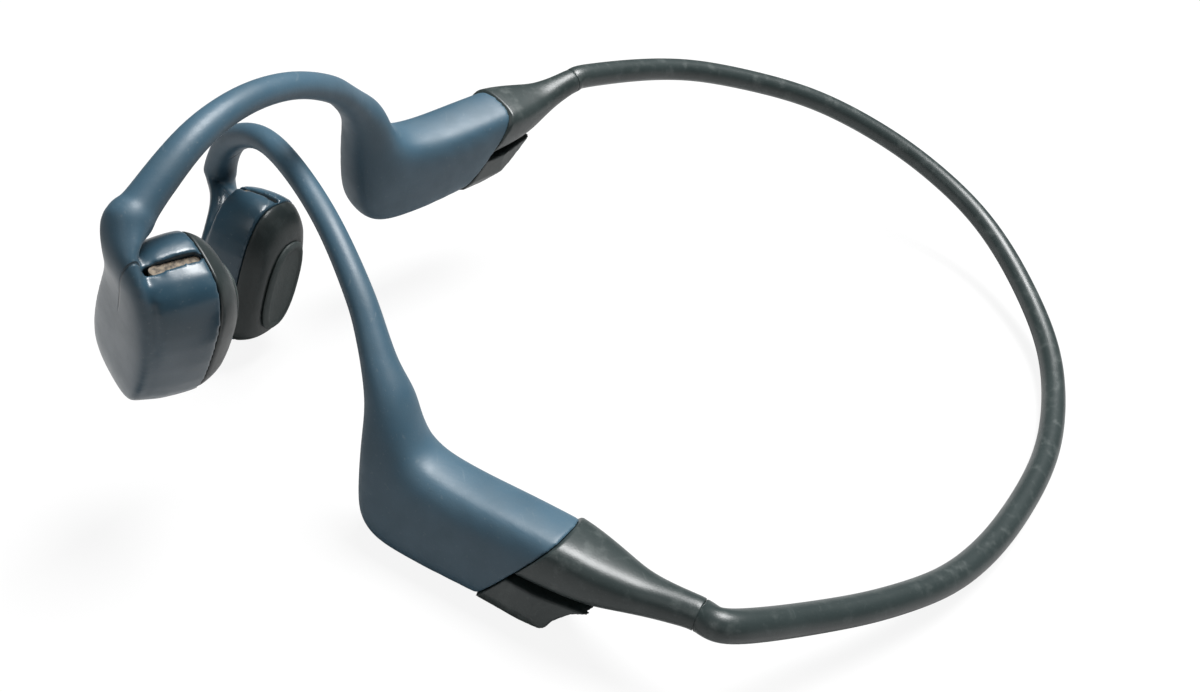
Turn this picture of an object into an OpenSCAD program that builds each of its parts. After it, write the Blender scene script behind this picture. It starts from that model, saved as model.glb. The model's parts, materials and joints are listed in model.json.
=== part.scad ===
// Open-ear bone conduction headphones: two ear hooks on a sprung neckband.
// The headset lies on its left pod with its arms crossed, right hook over left hook.
// X points to the wearer's left, Y to the back, Z up. Sizes are in millimetres.

/* [Neckband] */
// outer diameter of the rubber neckband
band_d = 3.8; // [3.2:0.1:4.6]
// diameter of the titanium wire inside the band and the hooks
wire_d = 1.1; // [0.8:0.1:1.4]
// how far the loop reaches behind the pods
band_reach = 98; // [80:1:116]
// how far the loop spreads to each side of the middle
band_spread = 52; // [44:1:60]

/* [Pods] */
// thickness of a pod from its outer to its inner face
pod_t = 9; // [7.6:0.1:10.6]
// height of a pod at its rear seam
pod_h = 14.4; // [13:0.1:17]
// wall of the moulded arm around the electronics
wall = 1.1; // [0.8:0.1:1.4]

/* [Ear hooks] */
// thickness of the hook where it is slimmest
hook_d = 2.9; // [2.5:0.1:3.6]
// height of the hook's top over the pod's upper edge
hook_rise = 22; // [19:0.5:26]

/* [Transducers] */
// height of a transducer
driver_h = 21.2; // [17.6:0.2:25.4]
// width of a transducer from its front to its rear side
driver_w = 11.8; // [9.8:0.2:14.2]
// depth of a transducer from its outer cover to its pad
driver_t = 11.2; // [10.6:0.2:13.4]

/* [Controls] */
// diameter of the multifunction button
button_d = 5.6; // [4.6:0.1:6.8]
// diameter of each volume button
volume_d = 2.6; // [2.2:0.1:3]
// how far a button travels
travel = 0.3; // [0.2:0.05:0.4]

/* [Fits] */
// gap between moulded pieces that meet at a seam
seam_gap = 0.05; // [0.03:0.01:0.1]
// radial clearance of the wire in its bore
wire_gap = 0.12; // [0.08:0.01:0.2]
// radial clearance of a button in its guide
slide_gap = 0.05; // [0.02:0.01:0.08]

/* [Show] */
// which sub-part to draw

/* [Hidden] */

left = 1;
right = -1;
tiny = 0.02;

skin_blue = [0.29, 0.43, 0.53];
shell_blue = [0.2, 0.35, 0.44];
dark_rubber = [0.2, 0.24, 0.25];
pad_dark = [0.14, 0.17, 0.17];
pad_grey = [0.24, 0.28, 0.28];
metal = [0.72, 0.72, 0.7];
dust_tan = [0.55, 0.5, 0.42];
board_green = [0.1, 0.3, 0.2];
copper = [0.72, 0.43, 0.25];

// puts the origin under the middle of the headset, on the surface it lies on
rest_shift = [6.36, -5.2, -0.19];

// how each arm lies: turned about X, Y and Z, then moved
left_turn = [1.6, -10, -40.7];
left_at = [34.4, -20.2, 15.3];
right_turn = [5, 11.1, 36.2];
right_at = [-33.3, -20.9, 31.8];

// ---- turning and placing points ----
function turn_x(a, p) = [p.x, p.y * cos(a) - p.z * sin(a), p.y * sin(a) + p.z * cos(a)];
function turn_y(a, p) = [p.x * cos(a) + p.z * sin(a), p.y, p.z * cos(a) - p.x * sin(a)];
function turn_z(a, p) = [p.x * cos(a) - p.y * sin(a), p.x * sin(a) + p.y * cos(a), p.z];
function turn(r, p) = turn_z(r.z, turn_y(r.y, turn_x(r.x, p)));
// a point of an arm, given as [outward, back, up] from the top of its rear seam
function on_arm(side, p) = side > 0
  ? turn(left_turn, p) + left_at + rest_shift
  : turn(right_turn, [-p.x, p.y, p.z]) + right_at + rest_shift;

module on_arm(side) {
  translate(rest_shift + (side > 0 ? left_at : right_at))
    rotate(side > 0 ? left_turn : right_turn)
      mirror([side > 0 ? 0 : 1, 0, 0])
        children();
}

// the transducer's own frame: Y runs from its outer cover to its pad, Z up
// the hooks are soft, so each transducer hangs a little differently
hang = (driver_h - 21.2) / 2;
left_driver_turn = [-6, -3, 8];
left_driver_at = [-13.4, -57.9, 1.8 - hang];
right_driver_turn = [-6, -10, 6];
right_driver_at = [-16.4, -62.2, 4.6 - hang];
function driver_turn(side) = side > 0 ? left_driver_turn : right_driver_turn;
function driver_at(side) = side > 0 ? left_driver_at : right_driver_at;
function from_driver(side, p) = turn(driver_turn(side), p) + driver_at(side);
function on_driver(side, p) = on_arm(side, from_driver(side, p));

module on_driver(side) {
  on_arm(side)
    translate(driver_at(side))
      rotate(driver_turn(side))
        children();
}

// ---- skins through rings of points ----
function unit(v) = v / norm(v);
function power(v, e) = sign(v) * pow(abs(v), e);
// a smooth value between p1 and p2
function blend(p0, p1, p2, p3, t) =
  0.5 * ((2 * p1) + (p2 - p0) * t + (2 * p0 - 5 * p1 + 4 * p2 - p3) * t * t
  + (3 * p1 - p0 - 3 * p2 + p3) * t * t * t);
function smooth(list, steps) = let(n = len(list) - 1) concat(
  [for (i = [0:n - 1], s = [0:steps - 1]) blend(
    list[max(i - 1, 0)], list[i], list[i + 1], list[min(i + 2, n)], s / steps)],
  [list[n]]);
// one rounded ring: centre c, half height vector h, half thickness b, squareness n
function ring(c, h, way, b, n, count) = let(across = unit(cross(way, h)))
  [for (i = [0:count - 1]) let(a = 360 * i / count)
    c + h * power(cos(a), 2 / n) + across * (b * power(sin(a), 2 / n))];
// rings through sections [upper point, lower point, half thickness, squareness]
function rings(list, count) = let(
  mids = [for (s = list) (s[0] + s[1]) / 2], n = len(list) - 1)
  [for (i = [0:n]) ring(mids[i], (list[i][0] - list[i][1]) / 2,
    unit(mids[min(i + 1, n)] - mids[max(i - 1, 0)]), list[i][2], list[i][3], count)];
function flip(list) = [for (i = [len(list) - 1:-1:0]) list[i]];

module skin(list, loop = false) {
  count = len(list[0]);
  n = len(list);
  sides = [for (k = [0:n - (loop ? 1 : 2)], i = [0:count - 1]) let(
    a = k * count + i, b = k * count + (i + 1) % count,
    c = ((k + 1) % n) * count + i, d = ((k + 1) % n) * count + (i + 1) % count)
    each [[a, c, d], [a, d, b]]];
  caps = loop ? [] : [[for (i = [0:count - 1]) i],
    [for (i = [count - 1:-1:0]) (n - 1) * count + i]];
  polyhedron(points = [for (r = list) each r], faces = concat(sides, caps), convexity = 8);
}

// ---- the moulded arm: pod and ear hook in one piece ----
rise = hook_rise / 22;
half_t = pod_t / 2;
// the rear seam slopes forward from the top of the pod
seam_top = -1.6;
function seam_back(z) = 8.4 * (z - seam_top) / (pod_h + seam_top);
deep = pod_h / 14.4;
arm_points = 20;
// side profile of the arm as [upper back, upper z, lower back, lower z, outward, half thickness, squareness]
pod_profile = [
  [0, seam_top, -8.4, -14.4 * deep, 0, half_t, 3.4],
  [-6, -1.7, -13, -14.6 * deep, 0, half_t + 0.1, 3.4],
  [-12, -1.8, -18, -14.7 * deep, 0.1, half_t + 0.1, 3.3],
  [-16.8, -1.3, -22.6, -14.3 * deep, 0.3, half_t, 3.1],
  [-19.1, -0.3, -25.3, -11.8 * deep, 0.5, half_t * 0.97, 2.9],
  [-20.2, 1.1, -26.2, -7.4, 0.8, half_t * 0.9, 2.6],
  [-21.3, 3.1, -26.5, -2.6, 1, half_t * 0.79, 2.4],
  [-22.8, 5.6, -27, 1.6, 0.8, half_t * 0.66, 2.2]
];
// centre line of the hook as [outward, back, up, diameter over slimmest, stretch]
hook_line = [
  [0.4, -27, 6.7, 1.3], [-0.7, -29.8, 10, 0.6], [-1.8, -32.7, 12.9 * rise, 0.35],
  [-4.4, -39.6, 17.7 * rise, 0.05], [-7.3, -47.5, 20.8 * rise, 0],
  [-10.6, -55.5, 21.4 * rise, 0.15], [-13.3, -62.3, 18.3 * rise, 0.6]
];
// last two points of each hook
left_tail = [[-15.2, -65.6, 13.8], [-15.6, -66.2, 11.4]];
right_tail = [[-13.6, -63.1, 18], [-13.9, -63.9, 17.6]];
tail_more = [1, 1.4];
hook_more = concat([for (p = hook_line) p[3]], tail_more);
function hook_mids(side) = concat([for (p = hook_line) [p.x, p.y, p.z]],
  side > 0 ? left_tail : right_tail);
function hook_way(mids, i) = unit(mids[min(i + 1, len(mids) - 1)] - mids[max(i - 1, 0)]);
// the half height vector of the hook lies in the arm's side plane
function hook_half(mids, i) = let(w = hook_way(mids, i)) unit([0, w.z, -w.y]);

function arm_sections(side, cut, bore) = concat(
  [for (p = pod_profile) let(
    top = [p[4], p[0], p[1]], low = [p[4], p[2], p[3]], across = unit(top - low),
    trim = min(cut, norm(top - low) / 2 - bore / 2))
    [on_arm(side, top - across * trim), on_arm(side, low + across * trim), p[5] - cut, p[6]]],
  let(mids = hook_mids(side))
  [for (i = [0:len(mids) - 1]) let(
    r = bore > 0 ? bore / 2 : (hook_d + hook_more[i]) / 2,
    h = hook_half(mids, i) * r)
    [on_arm(side, mids[i] + h), on_arm(side, mids[i] - h),
      bore > 0 ? bore / 2 : r * 1.08, 2]]);
bore_d = wire_d + 2 * wire_gap;

module arm_sleeve(side) {
  outer = rings(smooth(arm_sections(side, 0, 0), 2), arm_points);
  inner = rings(smooth(arm_sections(side, wall, bore_d), 2), arm_points);
  skin(concat(outer, flip(inner)), loop = true);
}

module hook_wire(side) {
  // starts inside the pod, just past the frame
  all = smooth(arm_sections(side, wall, wire_d), 2);
  first = 13;
  lean = [for (i = [first:len(all) - 1]) let(m = (all[i][0] + all[i][1]) / 2,
    h = unit(all[i][0] - all[i][1]) * wire_d / 2) [m + h, m - h, wire_d / 2, 2]];
  skin(rings(lean, arm_points));
}

// ---- pod electronics ----
frame_mid = [0.1, -12.2, -8.1];
frame_size = [6, 11, pod_h - 7.6];
frame_wall = 0.5;

module pod_frame(side) {
  on_arm(side)
    translate(frame_mid)
      difference() {
        cube(frame_size, center = true);
        translate([frame_wall, 0, 0])
          cube([frame_size.x, frame_size.y - 2 * frame_wall, frame_size.z - 2 * frame_wall],
            center = true);
      }
}

module battery_cell() {
  on_arm(left)
    translate(frame_mid + [0.2, 0, 0])
      cube([4.6, frame_size.y - 2 * frame_wall - 0.2, frame_size.z - 2 * frame_wall - 0.2],
        center = true);
}

module battery_lead_board() {
  on_arm(left)
    translate(frame_mid + [2.75, 0, 0])
      cube([0.4, 9, frame_size.z - 1.4], center = true);
}

module main_board() {
  on_arm(right)
    translate(frame_mid + [-1.9, 0, 0])
      cube([0.8, 9.8, frame_size.z - 1.2], center = true);
}

module main_chip() {
  on_arm(right)
    translate(frame_mid + [-0.9, 0.6, 0])
      cube([1.1, 5, 4], center = true);
}

module antenna_plate() {
  on_arm(right)
    translate(frame_mid + [1.6, 0, 0])
      cube([0.4, 9.4, 4.4], center = true);
}

// ---- dark boot between a pod and the neckband ----
band_r = band_d / 2;
boot_split = -8.5;
boot_end = 16;
// short straight length on each side of a butt joint
straight = 0.6;
boot_profile = [
  [0, seam_top, seam_back(boot_split), boot_split, half_t, 3.4],
  [1.6, -1.7, -2.4, boot_split, half_t * 0.99, 3.2],
  [4, -2, 1.4, boot_split + 0.1, half_t * 0.93, 2.9],
  [6.6, -2.3, 4.9, boot_split + 0.3, half_t * 0.8, 2.6],
  [9.2, -2.5, 8.4, -7.4, half_t * 0.62, 2.3],
  [12.2, -2.2, 12, -6.5, band_r * 1.12, 2.1],
  [boot_end - straight, -1.8, boot_end - straight, -1.8 - band_d, band_r, 2]
];
boot_last = [boot_end, -1.8, boot_end, -1.8 - band_d, band_r, 2];
function boot_sections(side, cut, list) = [for (p = list) let(
  top = [0, p[0] + seam_gap, p[1]], low = [0, p[2] + seam_gap, p[3]],
  across = unit(top - low), trim = cut == 0 ? 0 : norm(top - low) / 2 - bore_d / 2)
  [on_arm(side, top - across * trim), on_arm(side, low + across * trim),
    cut == 0 ? p[4] : bore_d / 2, cut == 0 ? p[5] : 2]];

// the last ring stands square to the band
function boot_run(side, cut) = concat(
  smooth(boot_sections(side, cut, boot_profile), 2), boot_sections(side, cut, [boot_last]));

module boot(side) {
  outer = rings(boot_run(side, 0), arm_points);
  inner = rings(boot_run(side, 1), arm_points);
  skin(concat(outer, flip(inner)), loop = true);
}

module link_wire(side) {
  sections = boot_run(side, 1);
  thin = wire_d / bore_d;
  skin(rings([for (p = sections) let(m = (p[0] + p[1]) / 2)
    [m + (p[0] - m) * thin, m + (p[1] - m) * thin, wire_d / 2, 2]], arm_points));
}

// ---- neckband ----
// the loop as parts of its reach and spread, from the left boot round to the right one
loop_shape = [
  [0.86, 0.27, 8.9], [0.8, 0.4, 6.3], [0.7, 0.54, 3.9], [0.515, 0.69, 2.6],
  [0.23, 0.855, 2.2], [-0.12, 0.968, 3.9], [-0.455, 1, 7.1], [-0.74, 0.98, 11],
  [-0.95, 0.905, 15], [-1.09, 0.79, 19.1], [-1.16, 0.64, 23], [-1.13, 0.44, 26.4],
  [-1.04, 0.3, 28.2]
];
loop_back = -20;
function band_point(side, past, up = 0) = on_arm(side, [0, boot_end + past, up - 1.8 - band_r]);
band_line = concat([band_point(left, 3 * seam_gap)],
  smooth(concat([band_point(left, straight), band_point(left, 3.5, 0.5)],
    [for (p = loop_shape) [p.x * band_spread, loop_back + p.y * band_reach, p.z] + rest_shift],
    [band_point(right, 3.5), band_point(right, straight)]), 3),
  [band_point(right, 3 * seam_gap)]);

function band_rings(r) = let(n = len(band_line) - 1)
  [for (i = [0:n]) let(way = unit(band_line[min(i + 1, n)] - band_line[max(i - 1, 0)]),
    side = unit(cross(way, [0, 0, 1])))
    ring(band_line[i], cross(side, way) * r, way, r, 2, 14)];

module neckband_sleeve() {
  skin(concat(band_rings(band_r), flip(band_rings(bore_d / 2))), loop = true);
}

module neckband_wire() {
  skin(band_rings(wire_d / 2));
}

// ---- lower rear cover of a pod ----
cover_half = half_t - 0.2;
cover_tip = 2.6;
edge_r = 2.4;
cover_top = boot_split - 2 * seam_gap;
cover_low = -pod_h + 0.1;
// outline in [back, up]
left_cover = [
  [seam_back(cover_top) + 2 * seam_gap, cover_top],
  [seam_back(cover_low) + 2 * seam_gap, cover_low],
  [-4, cover_low + 0.1], [0.6, -13.2], [1.3, -12.6], [1.8, -11.4], [3.5, -9.5], [5.4, cover_top]
];
right_cover = [
  [seam_back(cover_top) + 2 * seam_gap, cover_top],
  [seam_back(cover_low) + 2 * seam_gap, cover_low],
  [-4.6, cover_low + 0.3], [-1, -12.8], [2, -11.3], [4.4, -9.7], [5.8, cover_top]
];

module cover_block(outline) {
  intersection() {
    rotate([90, 0, 90])
      linear_extrude(height = 2 * cover_half, center = true)
        polygon(outline);
    // rounded along its two lower edges
    translate([0, -11, 0])
      rotate([-90, 0, 0])
        linear_extrude(height = 20)
          translate([0, pod_h / 2])
            offset(r = edge_r)
              square([2 * (cover_half - edge_r), pod_h - 2 * edge_r], center = true);
    // narrower towards the neckband
    translate([0, 0, -pod_h - 1])
      linear_extrude(height = pod_h + 1)
        polygon([[cover_half, -11], [cover_half, -1], [cover_tip, 7],
          [-cover_tip, 7], [-cover_half, -1], [-cover_half, -11]]);
  }
}

volume_r = volume_d / 2;
volume_places = [-5.2, -1.4];
guide_top = -10.8;
scoop_a = left_cover[5];
scoop_b = left_cover[6];
scoop_mid = (scoop_a + scoop_b) / 2;
scoop_turn = 180 + atan2(scoop_b.y - scoop_a.y, scoop_b.x - scoop_a.x);

// stands on the sloped floor of the charging recess, Z out of it
module at_scoop(across) {
  translate([across, scoop_mid.x, scoop_mid.y])
    rotate([scoop_turn, 0, 0])
      children();
}

pin_r = 0.6;
pin_deep = 1.6;
pin_spread = 2;

module wedge_cover(side) {
  on_arm(side)
    difference() {
      cover_block(side > 0 ? left_cover : right_cover);
      if (side > 0) {
        for (back = volume_places)
          translate([0, back, -pod_h - 1])
            cylinder(r = volume_r + slide_gap, h = guide_top + pod_h + 1, $fn = 40);
        for (across = [-pin_spread, pin_spread])
          at_scoop(across)
            translate([0, 0, -pin_deep])
              cylinder(r = pin_r + tiny, h = pin_deep + 2, $fn = 32);
        at_scoop(0)
          translate([0, 0, -pin_deep])
            cylinder(r = 1 + tiny, h = pin_deep - 0.4, $fn = 32);
      }
    }
}

module charging_pin(across) {
  on_arm(left)
    at_scoop(across)
      translate([0, 0, -pin_deep + tiny])
        cylinder(r = pin_r, h = pin_deep - tiny, $fn = 32);
}

module charging_magnet() {
  on_arm(left)
    at_scoop(0)
      translate([0, 0, -pin_deep + tiny])
        cylinder(r = 1, h = pin_deep - 0.4 - 2 * tiny, $fn = 32);
}

module volume_button(back) {
  on_arm(left)
    translate([0, back, -pod_h - 0.25])
      cylinder(r1 = volume_r - 0.3, r2 = volume_r, h = 0.3, $fn = 40);
  on_arm(left)
    translate([0, back, -pod_h + 0.05])
      cylinder(r = volume_r, h = 2.5, $fn = 40);
}

module volume_switch(back) {
  on_arm(left)
    translate([0, back, -pod_h + 2.55 + travel + tiny])
      cylinder(r = volume_r - 0.1, h = guide_top + pod_h - 2.55 - travel - 2 * tiny, $fn = 32);
}

// ---- transducer ----
dh = driver_h / 2;
dw = driver_w / 2;
outer_y = -driver_t / 2;
cover_y = outer_y + 2.2;
cup_y = driver_t / 2 - 3.8;
pad_y = driver_t / 2 - 0.6;
driver_points = 28;

// rings square to Y, given as [y, half width, half height, up, squareness]
function driver_rings(side, list) = [for (p = list) let(
  c = on_driver(side, [0, p[0], p[3]]),
  h = on_driver(side, [0, p[0], p[3] + p[2]]) - c,
  way = unit(on_driver(side, [0, 1, 0]) - on_driver(side, [0, 0, 0])))
  ring(c, h, way, p[1], p[4], driver_points)];

module transducer_shell(side) {
  outer = [
    [cover_y + seam_gap, dw - 0.5, dh - 0.7, 0, 2.7], [cover_y + 1.2, dw - 0.15, dh - 0.25, 0, 2.8],
    [cover_y + 3, dw, dh, 0, 2.8], [cup_y - 1, dw, dh, 0, 2.9],
    [cup_y, dw - 0.1, dh - 0.15, -0.05, 3]
  ];
  inner = [for (p = flip(outer)) [p[0], p[1] - wall, p[2] - wall, p[3], 2.6]];
  difference() {
    skin(driver_rings(side, concat(outer, inner)), loop = true);
    slot_cut(side, 0);
  }
}

slot_l = 5;
slot_w = 1.1;
slot_y = (cover_y + cup_y) / 2;

module slot_cut(side, shrink) {
  on_driver(side)
    translate([0, slot_y, dh - 2])
      hull()
        for (end = [-1, 1])
          translate([0, end * (slot_l - slot_w) / 2, 0])
            cylinder(d = slot_w - 2 * shrink, h = 4, $fn = 24);
}

module slot_mesh(side) {
  intersection() {
    slot_cut(side, tiny);
    on_driver(side)
      translate([0, slot_y, dh - 1.15])
        cube([4, 8, 0.5], center = true);
  }
}

module pad_cup(side) {
  outer = [
    [cup_y + seam_gap, dw - 0.1, dh - 0.15, -0.05, 3], [cup_y + 1.2, dw - 0.4, dh - 0.8, -0.15, 3],
    [cup_y + 2.3, dw - 0.9, dh - 1.8, -0.35, 2.9], [pad_y - 0.35, dw - 1.5, dh - 2.9, -0.55, 2.7],
    [pad_y, dw - 2.1, dh - 3.7, -0.6, 2.6]
  ];
  inner = [
    [pad_y - wall, dw - 2.9, dh - 4.4, -0.55, 2.6], [cup_y + 1.6, dw - 2.1, dh - 2.8, -0.3, 2.6],
    [cup_y + seam_gap, dw - 0.1 - wall, dh - 0.15 - wall, -0.05, 2.6]
  ];
  // from the floor along the inside to the rim, then over the outside to the face
  skin(driver_rings(side, concat(inner, outer)));
}

module pad_face(side) {
  skin(driver_rings(side, [
    [pad_y + tiny, dw - 2.3, dh - 3.9, -0.6, 2.4], [pad_y + 0.3, dw - 2.3, dh - 3.9, -0.6, 2.4],
    [pad_y + 0.6, dw - 2.8, dh - 4.4, -0.6, 2.4]
  ]));
}

// the cover's own frame: a section lies across the outer face at [x, z], given its half width
function bowl_part(side, x, z, front, back, half, n) =
  [on_driver(side, [x, outer_y + front, z]), on_driver(side, [x, cover_y - back, z]), half, n];

module transducer_cover(side) {
  arm_end = smooth(arm_sections(side, 0, 0), 2);
  last = len(arm_end) - 1;
  mid = (arm_end[last][0] + arm_end[last][1]) / 2;
  way = unit(mid - (arm_end[last - 1][0] + arm_end[last - 1][1]) / 2);
  h = (arm_end[last][0] - arm_end[last][1]) / 2;
  half = arm_end[last][2];
  neck = [for (past = [2 * seam_gap, straight])
    [mid + way * past + h, mid + way * past - h, half, 2]];
  // the cover hangs from the hook like the bowl of a spoon
  shoulder = side > 0
    ? [bowl_part(side, -2.2, 7, -4.2, 1.4, 2.9, 2.2), bowl_part(side, -0.8, 5.2, -1.5, 0.1, 4, 2.5)]
    : [bowl_part(side, 2.4, 10.6, -0.6, 0.6, 2.8, 2.1), bowl_part(side, 0.7, 7.2, -0.1, 0.1, 4.1, 2.4)];
  bowl = concat(shoulder, [
    bowl_part(side, 0, 2.4, 0, 0, dw - 0.8, 2.9), bowl_part(side, 0, -2, 0, 0, dw - 0.6, 3),
    bowl_part(side, 0, -5.6, 0, 0, dw - 1.1, 2.9), bowl_part(side, 0, -8.4 - hang, 0.5, 0, dw - 2.1, 2.6),
    bowl_part(side, 0, -9.8 - hang, 1.2, 0.1, dw - 3.5, 2.2)
  ]);
  difference() {
    skin(rings(concat([neck[0]], smooth(concat([neck[1]], bowl), 2)), 24));
    if (side > 0)
      on_driver(side)
        translate([0, outer_y - 1, -1.5])
          rotate([-90, 0, 0])
            cylinder(r = button_d / 2 + slide_gap, h = 1 + button_deep, $fn = 64);
  }
}

button_deep = 1.5;

module multifunction_button() {
  on_driver(left)
    translate([0, outer_y - 0.25, -1.5])
      rotate([-90, 0, 0]) {
        cylinder(r1 = button_d / 2 - 0.5, r2 = button_d / 2, h = 0.35, $fn = 64);
        translate([0, 0, 0.35])
          cylinder(d = button_d, h = 0.75, $fn = 64);
      }
}

module multifunction_switch() {
  on_driver(left)
    translate([0, outer_y + 0.85 + travel + tiny, -1.5])
      rotate([-90, 0, 0])
        cylinder(d = 3, h = button_deep - 0.85 - travel - 2 * tiny, $fn = 40);
}

module along_driver(side, y) {
  on_driver(side)
    translate([0, y, 0])
      rotate([-90, 0, 0])
        children();
}

magnet_r = dw - 3.6;
yoke_wall = 0.5;
gap_r = 0.35;
coil_t = 0.7;

module yoke(side) {
  along_driver(side, cover_y + 0.4)
    difference() {
      cylinder(r = magnet_r + 2 * gap_r + coil_t + yoke_wall, h = 3.2, $fn = 64);
      translate([0, 0, 0.8])
        cylinder(r = magnet_r + 2 * gap_r + coil_t, h = 3, $fn = 64);
    }
}

module magnet(side) {
  along_driver(side, cover_y + 1.2 + tiny)
    cylinder(r = magnet_r, h = 2.2, $fn = 64);
}

module voice_coil(side) {
  along_driver(side, cover_y + 2)
    difference() {
      cylinder(r = magnet_r + gap_r + coil_t, h = 3.1, $fn = 64);
      translate([0, 0, -1])
        cylinder(r = magnet_r + gap_r, h = 6, $fn = 64);
    }
}

module spring_plate(side) {
  along_driver(side, cover_y + 5.1 + tiny)
    cylinder(r = magnet_r + gap_r + coil_t + 0.5, h = 0.4, $fn = 64);
}

module microphone(side) {
  on_driver(side)
    translate([0, slot_y, -dh + wall + 1.2])
      cube([2.2, 1.8, 0.9], center = true);
}

// ---- the sub-parts ----
color(dark_rubber) neckband_sleeve();
color(metal) neckband_wire();
color(skin_blue) arm_sleeve(left);  // left_arm_sleeve
color(metal) hook_wire(left);  // left_hook_wire
color(dark_rubber) boot(left);  // left_boot
color(metal) link_wire(left);  // left_link_wire
color(dark_rubber) wedge_cover(left);  // left_wedge_cover
color(pad_grey) pod_frame(left);  // left_pod_frame
color(metal) battery_cell();
color(board_green) battery_lead_board();
color(skin_blue) transducer_cover(left);  // left_transducer_cover
color(shell_blue) transducer_shell(left);  // left_transducer_shell
color(dust_tan) slot_mesh(left);  // left_slot_mesh
color(pad_dark) pad_cup(left);  // left_pad_cup
color(pad_grey) pad_face(left);  // left_pad_face
color(metal) spring_plate(left);  // left_spring_plate
color(copper) voice_coil(left);  // left_voice_coil
color(metal) magnet(left);  // left_magnet
color(metal) yoke(left);  // left_yoke
color(metal) microphone(left);  // left_microphone
color(shell_blue) multifunction_button();
color(metal) multifunction_switch();
color(pad_grey) volume_button(volume_places[0]);  // volume_up_button
color(metal) volume_switch(volume_places[0]);  // volume_up_switch
color(pad_grey) volume_button(volume_places[1]);  // volume_down_button
color(metal) volume_switch(volume_places[1]);  // volume_down_switch
color(metal) charging_pin(pin_spread);  // charging_pin_left
color(metal) charging_pin(-pin_spread);  // charging_pin_right
color(metal) charging_magnet();
color(skin_blue) arm_sleeve(right);  // right_arm_sleeve
color(metal) hook_wire(right);  // right_hook_wire
color(dark_rubber) boot(right);  // right_boot
color(metal) link_wire(right);  // right_link_wire
color(dark_rubber) wedge_cover(right);  // right_wedge_cover
color(pad_grey) pod_frame(right);  // right_pod_frame
color(board_green) main_board();
color(pad_dark) main_chip();
color(metal) antenna_plate();
color(skin_blue) transducer_cover(right);  // right_transducer_cover
color(shell_blue) transducer_shell(right);  // right_transducer_shell
color(dust_tan) slot_mesh(right);  // right_slot_mesh
color(pad_dark) pad_cup(right);  // right_pad_cup
color(pad_grey) pad_face(right);  // right_pad_face
color(metal) spring_plate(right);  // right_spring_plate
color(copper) voice_coil(right);  // right_voice_coil
color(metal) magnet(right);  // right_magnet
color(metal) yoke(right);  // right_yoke
color(metal) microphone(right);  // right_microphone
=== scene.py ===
import json
import math

import bpy
from mathutils import Matrix, Vector


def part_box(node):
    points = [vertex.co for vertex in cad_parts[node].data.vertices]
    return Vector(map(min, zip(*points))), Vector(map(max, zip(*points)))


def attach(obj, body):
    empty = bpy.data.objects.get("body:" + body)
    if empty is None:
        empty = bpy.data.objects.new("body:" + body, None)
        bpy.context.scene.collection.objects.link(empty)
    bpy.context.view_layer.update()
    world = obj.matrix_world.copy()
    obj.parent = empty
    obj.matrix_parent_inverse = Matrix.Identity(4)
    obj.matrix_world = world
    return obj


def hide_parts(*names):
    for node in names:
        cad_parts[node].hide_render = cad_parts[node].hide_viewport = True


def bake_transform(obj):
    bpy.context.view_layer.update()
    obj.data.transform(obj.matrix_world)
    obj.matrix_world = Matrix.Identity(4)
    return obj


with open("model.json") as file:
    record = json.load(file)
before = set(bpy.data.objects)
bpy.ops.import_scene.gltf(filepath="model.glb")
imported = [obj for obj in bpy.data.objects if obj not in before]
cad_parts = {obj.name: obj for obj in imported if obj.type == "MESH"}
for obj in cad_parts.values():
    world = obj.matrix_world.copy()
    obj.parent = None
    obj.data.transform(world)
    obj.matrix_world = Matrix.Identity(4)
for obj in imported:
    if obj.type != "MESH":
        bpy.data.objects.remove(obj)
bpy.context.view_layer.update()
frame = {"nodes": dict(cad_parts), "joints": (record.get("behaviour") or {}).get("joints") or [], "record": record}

MM = 0.001
SIDES = ("left", "right")

# voxels that skins are melted at, and the depth a shell's edge is drawn into its cover, in millimetres
ARM_VOXEL = 0.24
COVER_VOXEL = 0.2
SHELL_DRAWN_IN = 0.6
# how far from a transducer's middle its shell's gloss reaches, in millimetres
GLOSS_WITHIN = 9.5
GLOSS_ENDS = 14
# where a slot lies in its transducer's own frame, in millimetres
SLOT_ABOVE = 7
SLOT_FROM = -4.2
SLOT_TO = 2.2


# ---- selecting and modelling by hand ----

def middle(node):
    low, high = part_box(node)
    return (low + high) / 2


def only(piece):
    """Deselects everything else and makes this piece the active one."""
    if bpy.context.object and bpy.context.object.mode != "OBJECT":
        bpy.ops.object.mode_set(mode="OBJECT")
    bpy.ops.object.select_all(action="DESELECT")
    piece.select_set(True)
    bpy.context.view_layer.objects.active = piece


def edit(piece, kind="FACE"):
    only(piece)
    bpy.ops.object.mode_set(mode="EDIT")
    bpy.ops.mesh.select_mode(type=kind)
    bpy.ops.mesh.select_all(action="DESELECT")


def leave():
    bpy.ops.object.mode_set(mode="OBJECT")


def pick_faces(piece, rule):
    """Selects the faces whose middle and normal fit the rule."""
    edit(piece)
    bpy.ops.object.mode_set(mode="OBJECT")
    for face in piece.data.polygons:
        face.select = bool(rule(face.center, face.normal))
    bpy.ops.object.mode_set(mode="EDIT")


def modify(piece, kind, **settings):
    only(piece)
    modifier = piece.modifiers.new(kind.lower(), kind)
    for key, value in settings.items():
        setattr(modifier, key, value)
    bpy.ops.object.modifier_apply(modifier=modifier.name)


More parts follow.
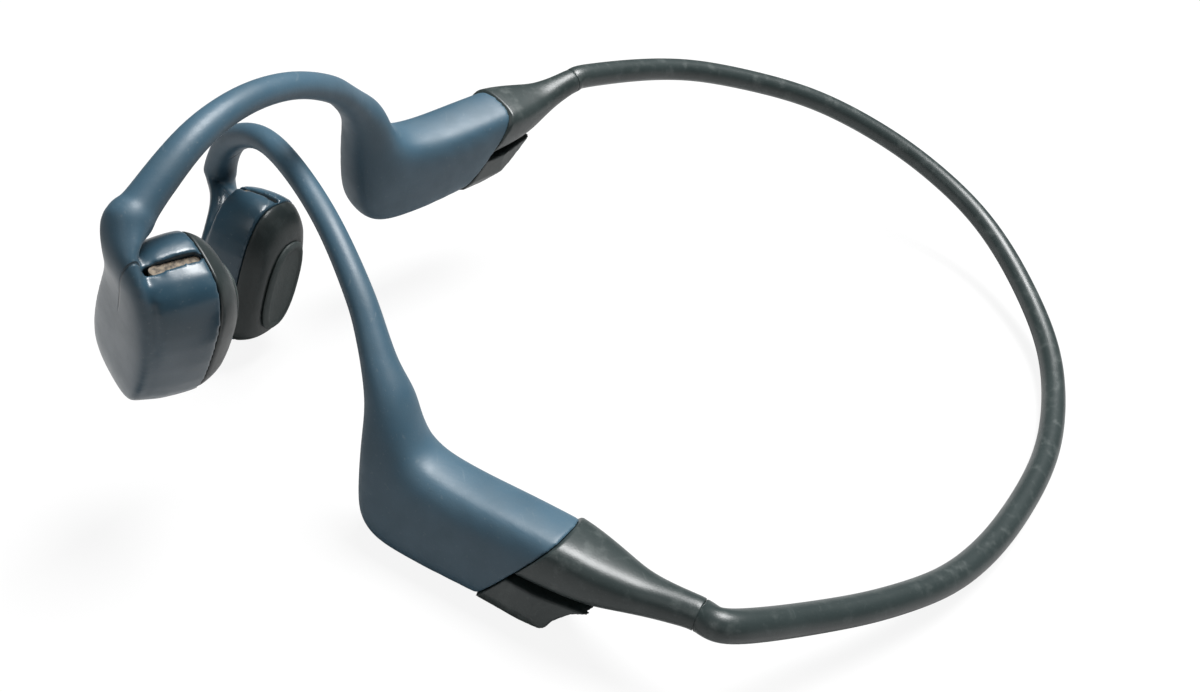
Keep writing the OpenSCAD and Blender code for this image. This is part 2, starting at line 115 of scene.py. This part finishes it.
def copy_nodes(name, *nodes):
    """Copies the meshes of CAD nodes into one new piece and merges their loose corners."""
    copies = []
    for node in nodes:
        piece = bpy.data.objects.new(name, frame["nodes"][node].data.copy())
        bpy.context.collection.objects.link(piece)
        piece.data.materials.clear()
        copies.append(piece)
    only(copies[0])
    for piece in copies[1:]:
        piece.select_set(True)
    if len(copies) > 1:
        bpy.ops.object.join()
    piece = copies[0]
    piece.name = name
    edit(piece, "VERT")
    bpy.ops.mesh.select_all(action="SELECT")
    bpy.ops.mesh.remove_doubles(threshold=0.002 * MM)
    bpy.ops.mesh.tris_convert_to_quads(face_threshold=math.radians(50), shape_threshold=math.radians(70))
    leave()
    return piece


def crease_rims(piece, angle, amount):
    """Keeps the sharp rims of a piece through its subdivision."""
    edit(piece, "EDGE")
    bpy.ops.mesh.edges_select_sharp(sharpness=math.radians(angle))
    bpy.ops.transform.edge_crease(value=amount)
    leave()


def rounded(name, *nodes, rim=0.0):
    piece = copy_nodes(name, *nodes)
    if rim:
        crease_rims(piece, 50, rim)
    modify(piece, "SUBSURF", levels=2, render_levels=2)
    return piece


def soften(piece, rounds, rule):
    """Smooths a piece where the rule gives a weight above nothing."""
    group = piece.vertex_groups.new(name="soft")
    for corner in piece.data.vertices:
        weight = rule(corner.co)
        if weight > 0.01:
            group.add([corner.index], min(1.0, weight), "REPLACE")
    modify(piece, "SMOOTH", factor=0.5, iterations=rounds, vertex_group="soft")
    piece.vertex_groups.clear()


def melt(piece, voxel):
    modify(piece, "REMESH", mode="VOXEL", voxel_size=voxel * MM)


def smooth_shade(piece, angle=None):
    only(piece)
    if angle is None:
        bpy.ops.object.shade_smooth()
    else:
        bpy.ops.object.shade_smooth_by_angle(angle=math.radians(angle))


def hand_over(piece, material, body, slot, *nodes):
    piece.data.materials.clear()
    piece.data.materials.append(material)
    if body:
        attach(piece, body)
    if nodes:
        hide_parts(*nodes)
    return piece


def ease(value, low, high):
    t = min(1.0, max(0.0, (value - low) / (high - low)))
    return t * t * (3 - 2 * t)


# ---- how each transducer lies ----

class Driver:
    """A transducer's own frame: along runs from its cover to its pad, up to its slot."""

    def __init__(self, side):
        yoke = middle(side + "_yoke")
        plate = middle(side + "_spring_plate")
        self.along = (plate - yoke).normalized()
        self.middle = yoke + self.along * 1.4 * MM
        drop = middle(side + "_microphone") - self.middle
        drop -= self.along * drop.dot(self.along)
        self.up = -drop.normalized()
        self.across = self.along.cross(self.up)

    def local(self, point):
        away = (point - self.middle) / MM
        return away.dot(self.across), away.dot(self.along), away.dot(self.up)


DRIVERS = {side: Driver(side) for side in SIDES}


# ---- shader work ----

class Wire:
    """A shader socket that can be added, taken away and multiplied like a number."""

    def __init__(self, finish, socket):
        self.finish = finish
        self.socket = socket

    def maths(self, operation, first, second):
        return self.finish.node("ShaderNodeMath", {"operation": operation}, {0: first, 1: second})

    def __add__(self, other):
        return self.maths("ADD", self, other)

    def __radd__(self, other):
        return self.maths("ADD", other, self)

    def __sub__(self, other):
        return self.maths("SUBTRACT", self, other)

    def __rsub__(self, other):
        return self.maths("SUBTRACT", other, self)

    def __mul__(self, other):
        return self.maths("MULTIPLY", self, other)

    def __rmul__(self, other):
        return self.maths("MULTIPLY", other, self)


class Finish:
    """One material and the nodes that make it."""

    def __init__(self, name):
        self.material = bpy.data.materials.new(name)
        self.material.use_nodes = True
        self.tree = self.material.node_tree
        self.shader = self.tree.nodes["Principled BSDF"]
        self.place = self.node("ShaderNodeTexCoord", {}, {}, "Object")

    def feed(self, socket, value):
        if isinstance(value, Wire):
            self.tree.links.new(value.socket, socket)
        else:
            socket.default_value = value

    def node(self, kind, settings, inputs, output=0):
        made = self.tree.nodes.new(kind)
        for key, value in settings.items():
            setattr(made, key, value)
        for key, value in inputs.items():
            self.feed(made.inputs[key], value)
        return Wire(self, made.outputs[output])

    def set(self, **values):
        for key, value in values.items():
            self.feed(self.shader.inputs[key.replace("_", " ")], value)

    def noise(self, size, detail=3.0, rough=0.55, place=None):
        """Noise whose blotches are about this many millimetres across."""
        return self.node("ShaderNodeTexNoise", {}, {
            "Vector": place or self.place, "Scale": 1 / (size * MM), "Detail": detail, "Roughness": rough})

    def step(self, value, low, high, start=0.0, end=1.0):
        return self.node("ShaderNodeMapRange", {"interpolation_type": "SMOOTHSTEP"},
                         {0: value, 1: low, 2: high, 3: start, 4: end})

    def tint(self, factor, first, second):
        return self.node("ShaderNodeMix", {"data_type": "RGBA"}, {0: factor, 6: first, 7: second}, 2)

    def stretched(self, scale, turn=(0, 0, 0)):
        return self.node("ShaderNodeMapping", {}, {"Vector": self.place, "Rotation": turn, "Scale": scale})

    def raised(self, height, depth, strength=1.0):
        """Feeds a height in 0 to 1, worth this many millimetres, to the shader's normal."""
        bump = self.node("ShaderNodeBump", {}, {
            "Height": height, "Distance": depth * MM, "Strength": strength})
        self.set(Normal=bump)


def rgb(red, green, blue):
    return (red, green, blue, 1.0)


def hairlines(finish, size, turn):
    """Fine worn scratches running one way."""
    long = finish.stretched((0.06, 1.0, 1.0), turn)
    return finish.step(finish.noise(size, 2.0, 0.5, long), 0.66, 0.74)


def skin_finish(name, side):
    """Moulded silicone skin of an arm, glossier where it turns into the transducer's shell."""
    finish = Finish(name)
    driver = DRIVERS[side]
    away = finish.node("ShaderNodeVectorMath", {"operation": "DISTANCE"},
                       {0: finish.place, 1: driver.middle}, "Value")
    shell = 1 - finish.step(away, GLOSS_WITHIN * MM, GLOSS_ENDS * MM)
    broad = finish.step(finish.noise(14, 3), 0.35, 0.68)
    cloud = finish.step(finish.noise(3.2, 4), 0.35, 0.7)
    dust = finish.step(finish.noise(0.42, 2), 0.66, 0.78)
    lines = hairlines(finish, 0.5, (0.2, 0.1, 0.7))
    skin = finish.tint(broad, rgb(0.036, 0.080, 0.116), rgb(0.046, 0.098, 0.140))
    gloss = finish.tint(broad, rgb(0.020, 0.052, 0.078), rgb(0.027, 0.064, 0.094))
    colour = finish.tint(shell, skin, gloss)
    colour = finish.tint(cloud * 0.16, colour, rgb(0.045, 0.075, 0.09))
    colour = finish.tint(dust * 0.12 + lines * 0.08, colour, rgb(0.30, 0.33, 0.33))
    # parting line along the top of the transducer, through its slot
    local = finish.node("ShaderNodeVectorMath", {"operation": "SUBTRACT"},
                        {0: finish.place, 1: driver.middle})
    turned = [finish.node("ShaderNodeVectorMath", {"operation": "DOT_PRODUCT"}, {0: local, 1: axis}, "Value")
              for axis in (driver.across, driver.along, driver.up)]
    beside = finish.node("ShaderNodeMath", {"operation": "ABSOLUTE"}, {0: turned[0]})
    line = 1 - finish.step(beside, 0.04 * MM, 0.16 * MM)
    line = line * finish.step(turned[2], 4 * MM, 6 * MM)
    line = line * finish.step(turned[1], -6.5 * MM, -5.5 * MM)
    line = line * (1 - finish.step(turned[1], 1.8 * MM, 1.9 * MM))
    colour = finish.tint(line * 0.75, colour, rgb(0.02, 0.035, 0.045))
    rough = 0.46 - shell * 0.17 + cloud * 0.08 + dust * 0.12 + lines * 0.08
    grain = finish.noise(0.16, 2) * 0.5 + finish.noise(0.9, 2) * 0.5
    height = grain * (1 - shell * 0.6) - line * 6.0
    finish.set(Base_Color=colour, Roughness=rough, Coat_Roughness=0.2, Specular_IOR_Level=0.5,
               Coat_Weight=shell * 0.25)
    finish.raised(height, 0.02)
    return finish.material


def rubber_finish(name, base, lifted, worn, rough, grain_size=0.2, grain_depth=0.02):
    """Dark moulded rubber, rubbed paler here and there."""
    finish = Finish(name)
    broad = finish.step(finish.noise(9, 4), 0.38, 0.66)
    patch = finish.step(finish.noise(2.4, 5, 0.65), 0.5, 0.72)
    speck = finish.step(finish.noise(0.35, 2), 0.64, 0.76)
    lines = hairlines(finish, 0.4, (0.5, 0.3, 0.2))
    colour = finish.tint(broad, base, lifted)
    colour = finish.tint(patch * 0.22 + speck * 0.12 + lines * 0.12, colour, worn)
    finish.set(Base_Color=colour, Roughness=rough + patch * 0.08 - broad * 0.06 + speck * 0.08,
               Specular_IOR_Level=0.5)
    finish.raised(finish.noise(grain_size, 3) * 0.7 + finish.noise(1.3, 2) * 0.3, grain_depth)
    return finish.material


def mesh_finish():
    """Woven acoustic mesh, full of pale dust."""
    finish = Finish("dusty_mesh")
    waves = [finish.node("ShaderNodeTexWave", {"bands_direction": way},
                         {"Vector": finish.place, "Scale": 1 / (2.2 * MM), "Distortion": 0.6})
             for way in ("X", "Y")]
    weave = waves[0] * waves[1]
    dust = finish.step(finish.noise(0.8, 5, 0.7), 0.36, 0.62)
    colour = finish.tint(weave, rgb(0.05, 0.045, 0.038), rgb(0.20, 0.165, 0.12))
    colour = finish.tint(dust * 0.75, colour, rgb(0.25, 0.20, 0.15))
    finish.set(Base_Color=colour, Roughness=0.9 - dust * 0.05)
    finish.raised(weave * 0.5 + finish.noise(0.25, 4) * 0.8, 0.09)
    return finish.material


def metal_finish(name, base, dull, rough, drawn=True):
    finish = Finish(name)
    long = finish.stretched((0.1, 1.0, 1.0)) if drawn else finish.place
    streak = finish.step(finish.noise(0.3, 3, 0.6, long), 0.35, 0.7)
    stain = finish.step(finish.noise(2.5, 4), 0.5, 0.75)
    colour = finish.tint(streak * 0.5 + stain * 0.3, base, dull)
    finish.set(Base_Color=colour, Metallic=1.0, Roughness=rough + streak * 0.12 + stain * 0.1)
    finish.raised(streak, 0.006)
    return finish.material


def plastic_finish(name, base, lifted, rough):
    finish = Finish(name)
    cloud = finish.step(finish.noise(1.8, 4), 0.4, 0.7)
    colour = finish.tint(cloud, base, lifted)
    finish.set(Base_Color=colour, Roughness=rough + cloud * 0.08)
    finish.raised(finish.noise(0.15, 3), 0.012)
    return finish.material


FINISHES = {
    "dark_rubber": rubber_finish("dark_rubber", rgb(0.021, 0.031, 0.031), rgb(0.029, 0.040, 0.040),
                                 rgb(0.14, 0.16, 0.155), 0.38),
    "pad_rubber": rubber_finish("soft_pad_rubber", rgb(0.012, 0.018, 0.018), rgb(0.017, 0.024, 0.024),
                                rgb(0.06, 0.072, 0.072), 0.42),
    "pad_face": rubber_finish("matt_pad_face", rgb(0.028, 0.040, 0.039), rgb(0.035, 0.047, 0.046),
                              rgb(0.09, 0.10, 0.10), 0.62, 0.3, 0.05),
    "mesh": mesh_finish(),
    "titanium": metal_finish("drawn_titanium", rgb(0.55, 0.53, 0.50), rgb(0.34, 0.33, 0.31), 0.3),
    "steel": metal_finish("plain_steel", rgb(0.56, 0.56, 0.55), rgb(0.36, 0.36, 0.36), 0.28, False),
    "copper": metal_finish("wound_copper", rgb(0.62, 0.31, 0.17), rgb(0.35, 0.16, 0.09), 0.32),
    "contact_gold": metal_finish("plated_contact", rgb(0.72, 0.54, 0.27), rgb(0.5, 0.36, 0.18), 0.2, False),
    "circuit_board": plastic_finish("green_board", rgb(0.02, 0.085, 0.05), rgb(0.03, 0.11, 0.065), 0.35),
    "black_plastic": plastic_finish("black_plastic", rgb(0.028, 0.029, 0.032), rgb(0.04, 0.041, 0.044), 0.5),
    "blue_shell": plastic_finish("blue_button", rgb(0.040, 0.108, 0.170), rgb(0.05, 0.128, 0.195), 0.32),
}


def finish_hidden_nodes():
    """Every CAD node that stays visible or sealed inside gets its own worked material."""
    slots = {row["node"]: row["material_slot"] for row in frame["record"]["subparts"]}
    for node, piece in frame["nodes"].items():
        material = FINISHES.get(slots[node])
        if material:
            for index in range(len(piece.material_slots)):
                piece.material_slots[index].material = material


# ---- the pieces ----

def build_arm(side):
    """Pod, ear hook and transducer in one melted skin, open at its rear seam."""
    nodes = [side + part for part in ("_arm_sleeve", "_transducer_cover", "_transducer_shell")]
    arm = rounded(side + "_arm_skin", nodes[0], rim=0.85)
    bowl = rounded(side + "_bowl", nodes[1], rim=0.1)
    shell = copy_nodes(side + "_shell", nodes[2])
    driver = DRIVERS[side]
    # the shell's edge is drawn into the cover, so that the two melt together
    edit(shell, "VERT")
    leave()
    edge = min(driver.local(corner.co)[1] for corner in shell.data.vertices)
    for corner in shell.data.vertices:
        corner.select = driver.local(corner.co)[1] < edge + 0.4
    bpy.ops.object.mode_set(mode="EDIT")
    bpy.ops.transform.translate(value=driver.along * -SHELL_DRAWN_IN * MM)
    leave()
    only(arm)
    bowl.select_set(True)
    shell.select_set(True)
    bpy.ops.object.join()
    melt(arm, ARM_VOXEL)

    def by_slot(y, z):
        return z > SLOT_ABOVE and SLOT_FROM < y < SLOT_TO

    def on_head(point):
        x, y, z = driver.local(point)
        near = 1 - ease(math.sqrt(x * x + y * y + z * z), 13, 17)
        slot = 1 - ease(abs(x), 0.9, 1.8) if by_slot(y, z) else 0.0
        rim = 1 - ease(y, 0.8, 1.4)
        return near * (1 - slot) * rim

    def off_rims(point):
        x, y, z = driver.local(point)
        if abs(x) < 1.6 and by_slot(y, z):
            return 0.3
        return 0.8

    soften(arm, 26, on_head)
    soften(arm, 4, off_rims)
    smooth_shade(arm)
    return hand_over(arm, skin_finish(side + "_blue_skin", side), side + "_arm", "blue_skin", *nodes)


def build_pad(side):
    """Dark rubber cup and the oval face that touches the wearer."""
    cup = rounded(side + "_cup", side + "_pad_cup", rim=0.35)
    smooth_shade(cup)
    hand_over(cup, FINISHES["pad_rubber"], side + "_arm", "pad_rubber", side + "_pad_cup")

    face = copy_nodes(side + "_oval_face", side + "_pad_face")
    driver = DRIVERS[side]
    top = max(driver.local(corner.co)[1] for corner in face.data.vertices)
    pick_faces(face, lambda mid, way: way.dot(driver.along) > 0.95 and driver.local(mid)[1] > top - 0.1)
    bpy.ops.mesh.dissolve_faces()
    bpy.ops.mesh.inset(thickness=0.35 * MM, depth=0)
    bpy.ops.mesh.inset(thickness=0.2 * MM, depth=-0.22 * MM)
    bpy.ops.mesh.inset(thickness=1.6 * MM, depth=0.05 * MM)
    leave()
    modify(face, "BEVEL", width=0.12 * MM, segments=3, limit_method="ANGLE", angle_limit=math.radians(28))
    smooth_shade(face, 35)
    hand_over(face, FINISHES["pad_face"], side + "_arm", "pad_face", side + "_pad_face")


def build_boot(side):
    """Rubber boot that carries the flex between the pod and the neckband."""
    boot = rounded(side + "_rubber_boot", side + "_boot", rim=0.8)
    smooth_shade(boot)
    hand_over(boot, FINISHES["dark_rubber"], None, "dark_rubber", side + "_boot")
    joint = next(row for row in frame["joints"] if row["name"] == side + "_flex")
    tip = Vector(joint["pos_m"])
    root = middle(side + "_wedge_cover") + Vector((0, 0, 3 * MM))
    toward = (root - tip).normalized()
    tip + toward * 0.5 * MM
    tip + toward * 12 * MM
    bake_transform(boot)


def build_wedge(side):
    """Lower rear cover of a pod, with its moulded edges rounded over."""
    wedge = copy_nodes(side + "_rear_cover", side + "_wedge_cover")
    melt(wedge, COVER_VOXEL)
    soften(wedge, 6, lambda point: 1.0)
    smooth_shade(wedge)
    hand_over(wedge, FINISHES["dark_rubber"], side + "_arm", "dark_rubber", side + "_wedge_cover")


def build_neckband():
    band = rounded("neckband_tube", "neckband_sleeve", rim=0.6)
    smooth_shade(band)
    hand_over(band, FINISHES["dark_rubber"], "neckband", "dark_rubber", "neckband_sleeve")


def build_button(node, body, material, slot, out, dish):
    """A push button: its rim rounded over and its face dished inside a fine ring."""
    cap = copy_nodes(node + "_cap", node)
    edit(cap)
    bpy.ops.mesh.select_all(action="SELECT")
    bpy.ops.mesh.dissolve_limited(angle_limit=math.radians(2))
    leave()
    top = max(corner.co.dot(out) for corner in cap.data.vertices)
    pick_faces(cap, lambda mid, way: way.dot(out) > 0.95 and mid.dot(out) > top - 0.1 * MM)
    bpy.ops.mesh.inset(thickness=dish * 0.25, depth=0)
    bpy.ops.mesh.inset(thickness=dish * 0.12, depth=-0.1 * MM)
    bpy.ops.mesh.inset(thickness=dish * 0.3, depth=-0.03 * MM)
    leave()
    modify(cap, "BEVEL", width=0.07 * MM, segments=2, limit_method="ANGLE", angle_limit=math.radians(28))
    smooth_shade(cap, 35)
    hand_over(cap, material, body, slot, node)


# ---- stage, lamps and camera ----

def build_stage():
    bpy.ops.object.select_all(action="DESELECT")
    bpy.ops.mesh.primitive_plane_add(size=3, location=(0, 0, 0))
    floor = bpy.context.object
    floor.name = "studio_floor"
    finish = Finish("studio_white")
    seen = finish.node("ShaderNodeLightPath", {}, {}, "Is Camera Ray")
    paper = finish.tint(finish.noise(40, 2) * 0.3, rgb(0.42, 0.42, 0.42), rgb(0.40, 0.40, 0.40))
    finish.set(Base_Color=paper, Roughness=0.9, Specular_IOR_Level=0.0)
    glow = finish.node("ShaderNodeEmission", {}, {"Color": rgb(1, 1, 1), "Strength": 1.12})
    share = seen * 0.8
    white = Wire(finish, finish.shader.outputs[0])
    both = finish.node("ShaderNodeMixShader", {}, {0: share, 1: white, 2: glow})
    finish.tree.links.new(both.socket, finish.tree.nodes["Material Output"].inputs["Surface"])
    floor.data.materials.append(finish.material)

    world = bpy.context.scene.world or bpy.data.worlds.new("studio")
    bpy.context.scene.world = world
    world.use_nodes = True
    tree = world.node_tree
    rays = tree.nodes.new("ShaderNodeLightPath")
    pale = tree.nodes.new("ShaderNodeMath")
    pale.operation = "MULTIPLY_ADD"
    tree.links.new(rays.outputs["Is Camera Ray"], pale.inputs[0])
    pale.inputs[1].default_value = 0.92
    pale.inputs[2].default_value = 0.08
    tree.nodes["Background"].inputs["Color"].default_value = rgb(1, 1, 1)
    tree.links.new(pale.outputs[0], tree.nodes["Background"].inputs["Strength"])


def add_lamp(name, place, target, width, height, power):
    data = bpy.data.lights.new(name, "AREA")
    data.shape = "RECTANGLE"
    data.size = width
    data.size_y = height
    data.energy = power
    lamp = bpy.data.objects.new(name, data)
    bpy.context.collection.objects.link(lamp)
    lamp.location = place
    lamp.rotation_euler = (Vector(target) - Vector(place)).to_track_quat("-Z", "Y").to_euler()


def add_camera():
    data = bpy.data.cameras.new("camera")
    data.sensor_width = 36
    data.lens = 30
    data.clip_start = 0.005
    camera = bpy.data.objects.new("camera", data)
    bpy.context.collection.objects.link(camera)
    turn = Matrix((
        (0.21311, -0.64694, 0.73216),
        (0.95790, -0.00919, -0.28694),
        (0.19236, 0.76249, 0.61774)))
    camera.matrix_world = Matrix.Translation((0.10848, -0.05418, 0.09680)) @ turn.to_4x4()
    bpy.context.scene.camera = camera


for side in SIDES:
    build_arm(side)
    build_pad(side)
    build_boot(side)
    build_wedge(side)
build_neckband()
finish_hidden_nodes()
build_button("multifunction_button", "multifunction_button", FINISHES["blue_shell"], "blue_shell",
             -DRIVERS["left"].along, 3.0 * MM)
low_side = (middle("volume_up_button") - middle("volume_up_switch")).normalized()
for which in ("volume_up_button", "volume_down_button"):
    build_button(which, which, FINISHES["dark_rubber"], "dark_rubber", low_side, 1.0 * MM)

build_stage()
add_lamp("top_softbox", (-0.10, 0.10, 0.50), (0, 0, 0.01), 0.26, 0.26, 6.0)
add_lamp("front_fill", (0.28, -0.34, 0.36), (0, 0, 0.02), 0.3, 0.3, 0.3)
add_camera()
bpy.context.scene.view_settings.view_transform = "Standard"
